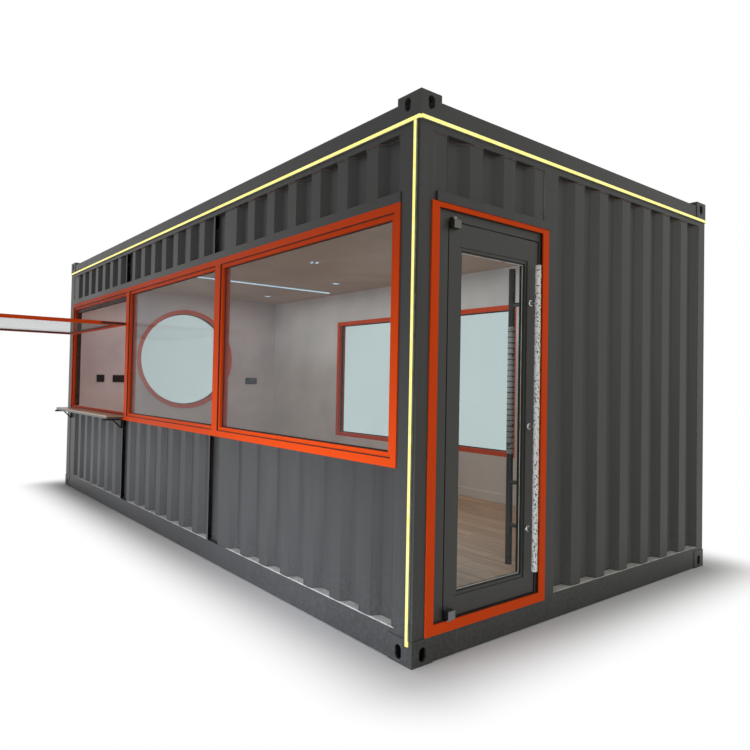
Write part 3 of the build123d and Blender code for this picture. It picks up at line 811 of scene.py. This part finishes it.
plate_profile = [(0.0, 0.006), (0.013, 0.006), (0.017, 0.004), (0.018, 0.0)]
out_shares, in_shares = (0.133, 0.469, 0.877), (0.133, 0.277, 0.877)
for share in out_shares:
    turned_into(plates, plate_profile, (leaf_high[0], out_y, out_z0 + share * (out_z1 - out_z0)), (1, 0, 0), 28)
for share in in_shares:
    turned_into(plates, plate_profile, (leaf_low[0], in_y, in_z0 + share * (in_z1 - in_z0)), (-1, 0, 0), 28)
keep("handle_plates", plates, rosette_steel, "door", smooth=True)

# %% [markdown]
# ## Light strips
# A light strip lies in a slim aluminium channel. Two lips along each strip are enough to show it.

# %% Channels of the light strips
lip_thick, lip_out, strip_face = 0.0018, 0.009, 0.017
upright_foot, upright_gap = 0.118, 0.002
lips = bmesh.new()
strip_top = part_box("light_strips")[1][2]
strip_bottom = strip_top - strip_face
for z0, z1 in ((strip_top, strip_top + lip_thick), (strip_bottom - lip_thick, strip_bottom)):
    block_into(lips, (far_x, front_y - lip_out, z0), (door_x, front_y, z1))
    block_into(lips, (door_x, front_y, z0), (door_x + lip_out, back_y, z1))
upright_x = (door_x - 0.037, door_x - 0.020)
for x0, x1 in ((upright_x[0] - lip_thick, upright_x[0]), (upright_x[1], upright_x[1] + lip_thick)):
    block_into(lips, (x0, front_y - lip_out, upright_foot), (x1, front_y, strip_bottom - upright_gap))
keep("light_strip_channels", lips, channel_metal)

# %% [markdown]
# ## Room fittings
# Trim rings round the ceiling lights, and face plates with a pressed edge on the sockets.

# %% Trim rings and socket plates
first_light, light_spacing, light_row = 0.635, 1.520, 0.740
rings = bmesh.new()
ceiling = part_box("ceiling_board")[0][2]
ring_profile = ((0.038, 0.0), (0.050, 0.0), (0.048, 0.006), (0.040, 0.009), (0.038, 0.009), (0.038, 0.0))
for index in range(4):
    for row in (-light_row, light_row):
        spot = (house_high[0] - first_light - light_spacing * index, middle_y + row, ceiling)
        turned_into(rings, ring_profile, spot, (0, 0, -1), 40)
centre_light = Vector((house_high[0] - 2.770, middle_y - 0.140, ceiling - 0.008))
turned_into(rings, [(0.0, 0.004), (0.054, 0.004), (0.060, 0.0), (0.060, -0.008)], centre_light, (0, 0, -1), 40)
keep("ceiling_light_rings", rings, white_board, smooth=True)
spots = bmesh.new()
spot_turn, spot_circle = 0.4, 0.034
for turn in range(4):
    angle = turn * math.pi / 2 + spot_turn
    offset = Vector((spot_circle * math.cos(angle), spot_circle * math.sin(angle), -0.004))
    turned_into(spots, [(0.0, 0.005), (0.009, 0.004), (0.011, 0.0)], centre_light + offset, (0, 0, -1), 20)
keep("centre_light_spots", spots, own_finishes["ceiling_lights"], smooth=True)
wall_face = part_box("wall_sockets")[1][0]
socket_z, half_width, plate_soft = 1.25, 1.4, 0.0006
socket_shares = (-0.76, -0.628, -0.565, 0.64, 0.703)
faces = bmesh.new()
for share in socket_shares:
    y = middle_y + share * half_width
    for half, out in ((0.036, 0.002), (0.026, 0.0035)):
        block_into(
            faces, (wall_face, y - half, socket_z - half), (wall_face + out, y + half, socket_z + half), plate_soft
        )
keep("socket_plates", faces, black_plastic)

# %% [markdown]
# ## Camera
# The photograph was taken from near the corner between the glazed side and the door end, about 1.26 m above the
# ground, with a fairly wide lens. The camera's place, turn and lens come from fitting the corners of the house.

# %% The photograph's camera
shift = Vector((-0.02125, 0.569, 0.0))
eye = Vector((5.1368, -3.3312, 1.2618)) + shift
yaw, tilt, roll, focal, centre = 2.4615, 0.0226, 0.0190, 641.87, (377.04, 368.02)
picture, sensor = 750, 36.0
forward = Vector((math.cos(tilt) * math.cos(yaw), math.cos(tilt) * math.sin(yaw), math.sin(tilt)))
level_right = forward.cross(Vector((0, 0, 1))).normalized()
level_up = level_right.cross(forward)
right = level_right * math.cos(roll) + level_up * math.sin(roll)
up = level_up * math.cos(roll) - level_right * math.sin(roll)
lens = bpy.data.cameras.new("photo_camera")
lens.sensor_width = sensor
lens.lens = focal / picture * sensor
lens.shift_x = (picture / 2 - centre[0]) / picture
lens.shift_y = (centre[1] - picture / 2) / picture
camera = bpy.data.objects.new("photo_camera", lens)
camera.matrix_world = Matrix((right, up, -forward)).transposed().to_4x4()
camera.matrix_world.translation = eye
scene.collection.objects.link(camera)
scene.camera = camera
print("camera at", [round(v, 3) for v in eye], "lens", round(lens.lens, 2), "mm")

# %% [markdown]
# ## Floor and light
# The house stands on a plain pale floor under soft lamps, as in a studio. The two low lamps along the glazed side
# stand in for light from the ground. Their power is set by number: at this level the orange of the sill
# renders about as it is written, so the finishes hold up under other light too. The floor fades to white away from
# the house for the rays that show it, and keeps the shadow close by.

# %% Studio
def shown_rays(wire):
    """1 for rays that show the background: from the camera, or by way of a mirror or a pane."""
    rays = [wire.node("ShaderNodeLightPath", out=f"Is {kind} Ray") for kind in ("Camera", "Glossy", "Transmission")]
    return (rays[0] + rays[1] + rays[2]).clamped()


def beyond(value, low, high):
    """How far a value lies outside a span, 0 within it."""
    return value.sum("MAXIMUM", 0.0 - into(value, low, high), 0.0)


bed = bmesh.new()
bmesh.ops.create_grid(bed, x_segments=2, y_segments=2, size=40.0)
bmesh.ops.translate(bed, verts=bed.verts, vec=(0, 0, -0.001))
floor_mesh = bpy.data.meshes.new("studio_floor")
bed.to_mesh(floor_mesh)
bed.free()
studio_floor = bpy.data.objects.new("studio_floor", floor_mesh)
scene.collection.objects.link(studio_floor)
floor_paint, floor_shader, floor_wire = new_finish("studio_floor")
feed(floor_shader, Base_Color=(0.88, 0.88, 0.88, 1), Roughness=0.9)
ground = own_place(floor_wire)
clear_x = beyond(along_axis(floor_wire, ground, "X"), far_x, door_x)
clear_y = beyond(along_axis(floor_wire, ground, "Y"), front_y, back_y)
away = clear_x * clear_x + clear_y * clear_y
fade_width = 0.55
fade = away.sum("SQRT", away).steps(0.0, fade_width) * shown_rays(floor_wire)
bright = floor_wire.node("ShaderNodeEmission", {}, {"Color": (1, 1, 1, 1), "Strength": 1.0})
floor_mix = floor_wire.node(
    "ShaderNodeMixShader", {}, {0: fade, 1: Wire(floor_wire.tree, floor_shader.outputs[0]), 2: bright}
)
floor_wire.tree.links.new(floor_mix.socket, floor_wire.tree.nodes["Material Output"].inputs["Surface"])
floor_mesh.materials.append(floor_paint)

world = bpy.data.worlds.new("studio")
world.use_nodes = True
scene.world = world
air = Wire(world.node_tree)
background = world.node_tree.nodes["Background"]
background.inputs["Color"].default_value = (1, 1, 1, 1)
ambient = 0.22
world.node_tree.links.new((ambient + shown_rays(air) * (1 - ambient)).socket, background.inputs["Strength"])


def lamp(name, place, aim, size, power, colour):
    """A soft rectangular lamp at a place, turned towards its aim."""
    light = bpy.data.lights.new(name, "AREA")
    light.shape = "RECTANGLE"
    light.size, light.size_y = size
    light.energy = power
    light.color = colour
    holder = bpy.data.objects.new(name, light)
    holder.location = place
    holder.rotation_euler = (Vector(aim) - Vector(place)).to_track_quat("-Z", "Y").to_euler()
    scene.collection.objects.link(holder)
    return holder


cool, low_spread = (0.82, 0.87, 1.0), math.radians(85)
key = lamp("key_left", (0.6, -3.7, 0.25), (0.6, -0.8, 0.30), (6.4, 0.4), 25, cool)
near = lamp("key_near", (2.4, -2.9, 0.40), (2.15, -0.8, 0.30), (2.2, 0.6), 11, cool)
for holder in (key, near):
    holder.visible_camera = False
    holder.data.spread = low_spread
near.visible_glossy = False
lamp("fill_right", (9.5, -0.4, 3.0), (3.0, 0.5, 1.2), (5, 4), 100, (1.0, 0.97, 0.86))
lamp("fill_back", (-6.0, 8.5, 3.0), (-1.0, 1.2, 1.2), (5, 4), 75, (1.0, 0.98, 0.95))
lamp("top", (0, 0.5, 8.0), (0, 0.5, 0), (8, 5), 220, (1.0, 0.97, 0.93))
room = lamp("room", (0, 0.57, 2.32), (0, 0.57, 0), (5.2, 2.0), 34, (1.0, 0.95, 0.93))
room.visible_camera = False
room.visible_glossy = False

scene.view_settings.view_transform = "Standard"
